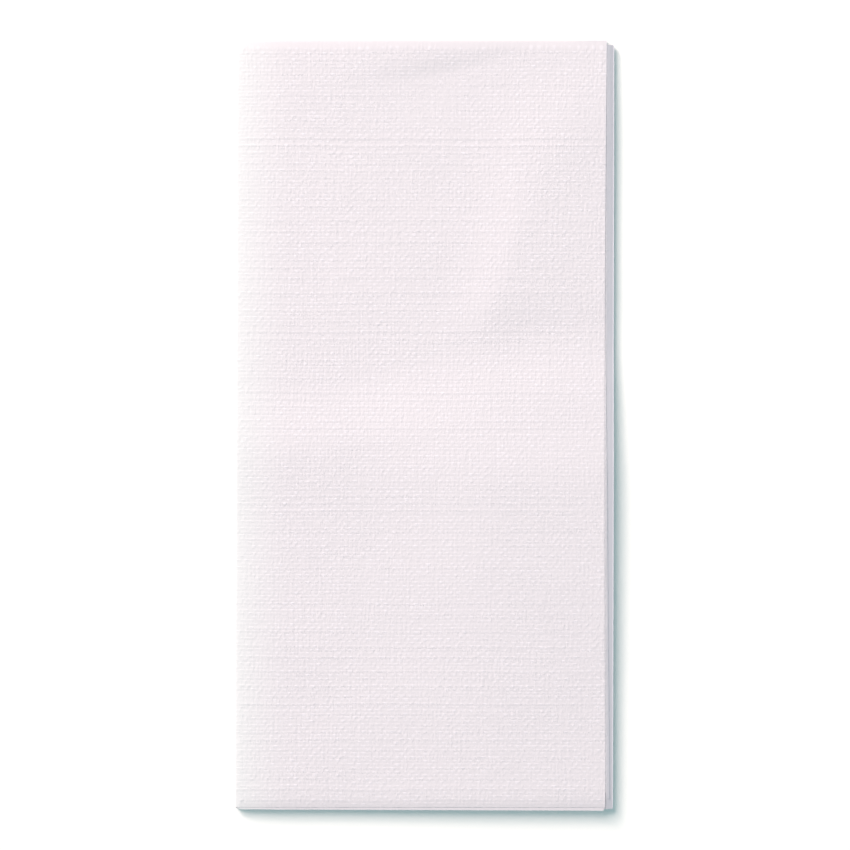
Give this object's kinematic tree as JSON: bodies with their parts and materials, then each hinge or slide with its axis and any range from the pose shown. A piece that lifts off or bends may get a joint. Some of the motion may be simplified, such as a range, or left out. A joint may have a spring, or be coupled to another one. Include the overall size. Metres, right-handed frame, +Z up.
{
  "type": "paper napkin",
  "caption": "White linen-embossed paper napkin, one sheet folded lengthwise and across into a flat oblong pad, for laying at a place setting and wiping hands.",
  "frame": {"origin": "on the table, under the middle of the folded outline", "axes": "+X from the left fold to the right fold, +Y from the free ends to the cross fold, +Z up out of the top panel"},
  "size_m": [0.0996, 0.2032, 0.0047],
  "materials": {
    "paper": "matt white paper with a faint pink cast and a fine linen emboss"
  },
  "bodies": {
    "root": {"napkin": "paper"}
  },
  "joints": []
}
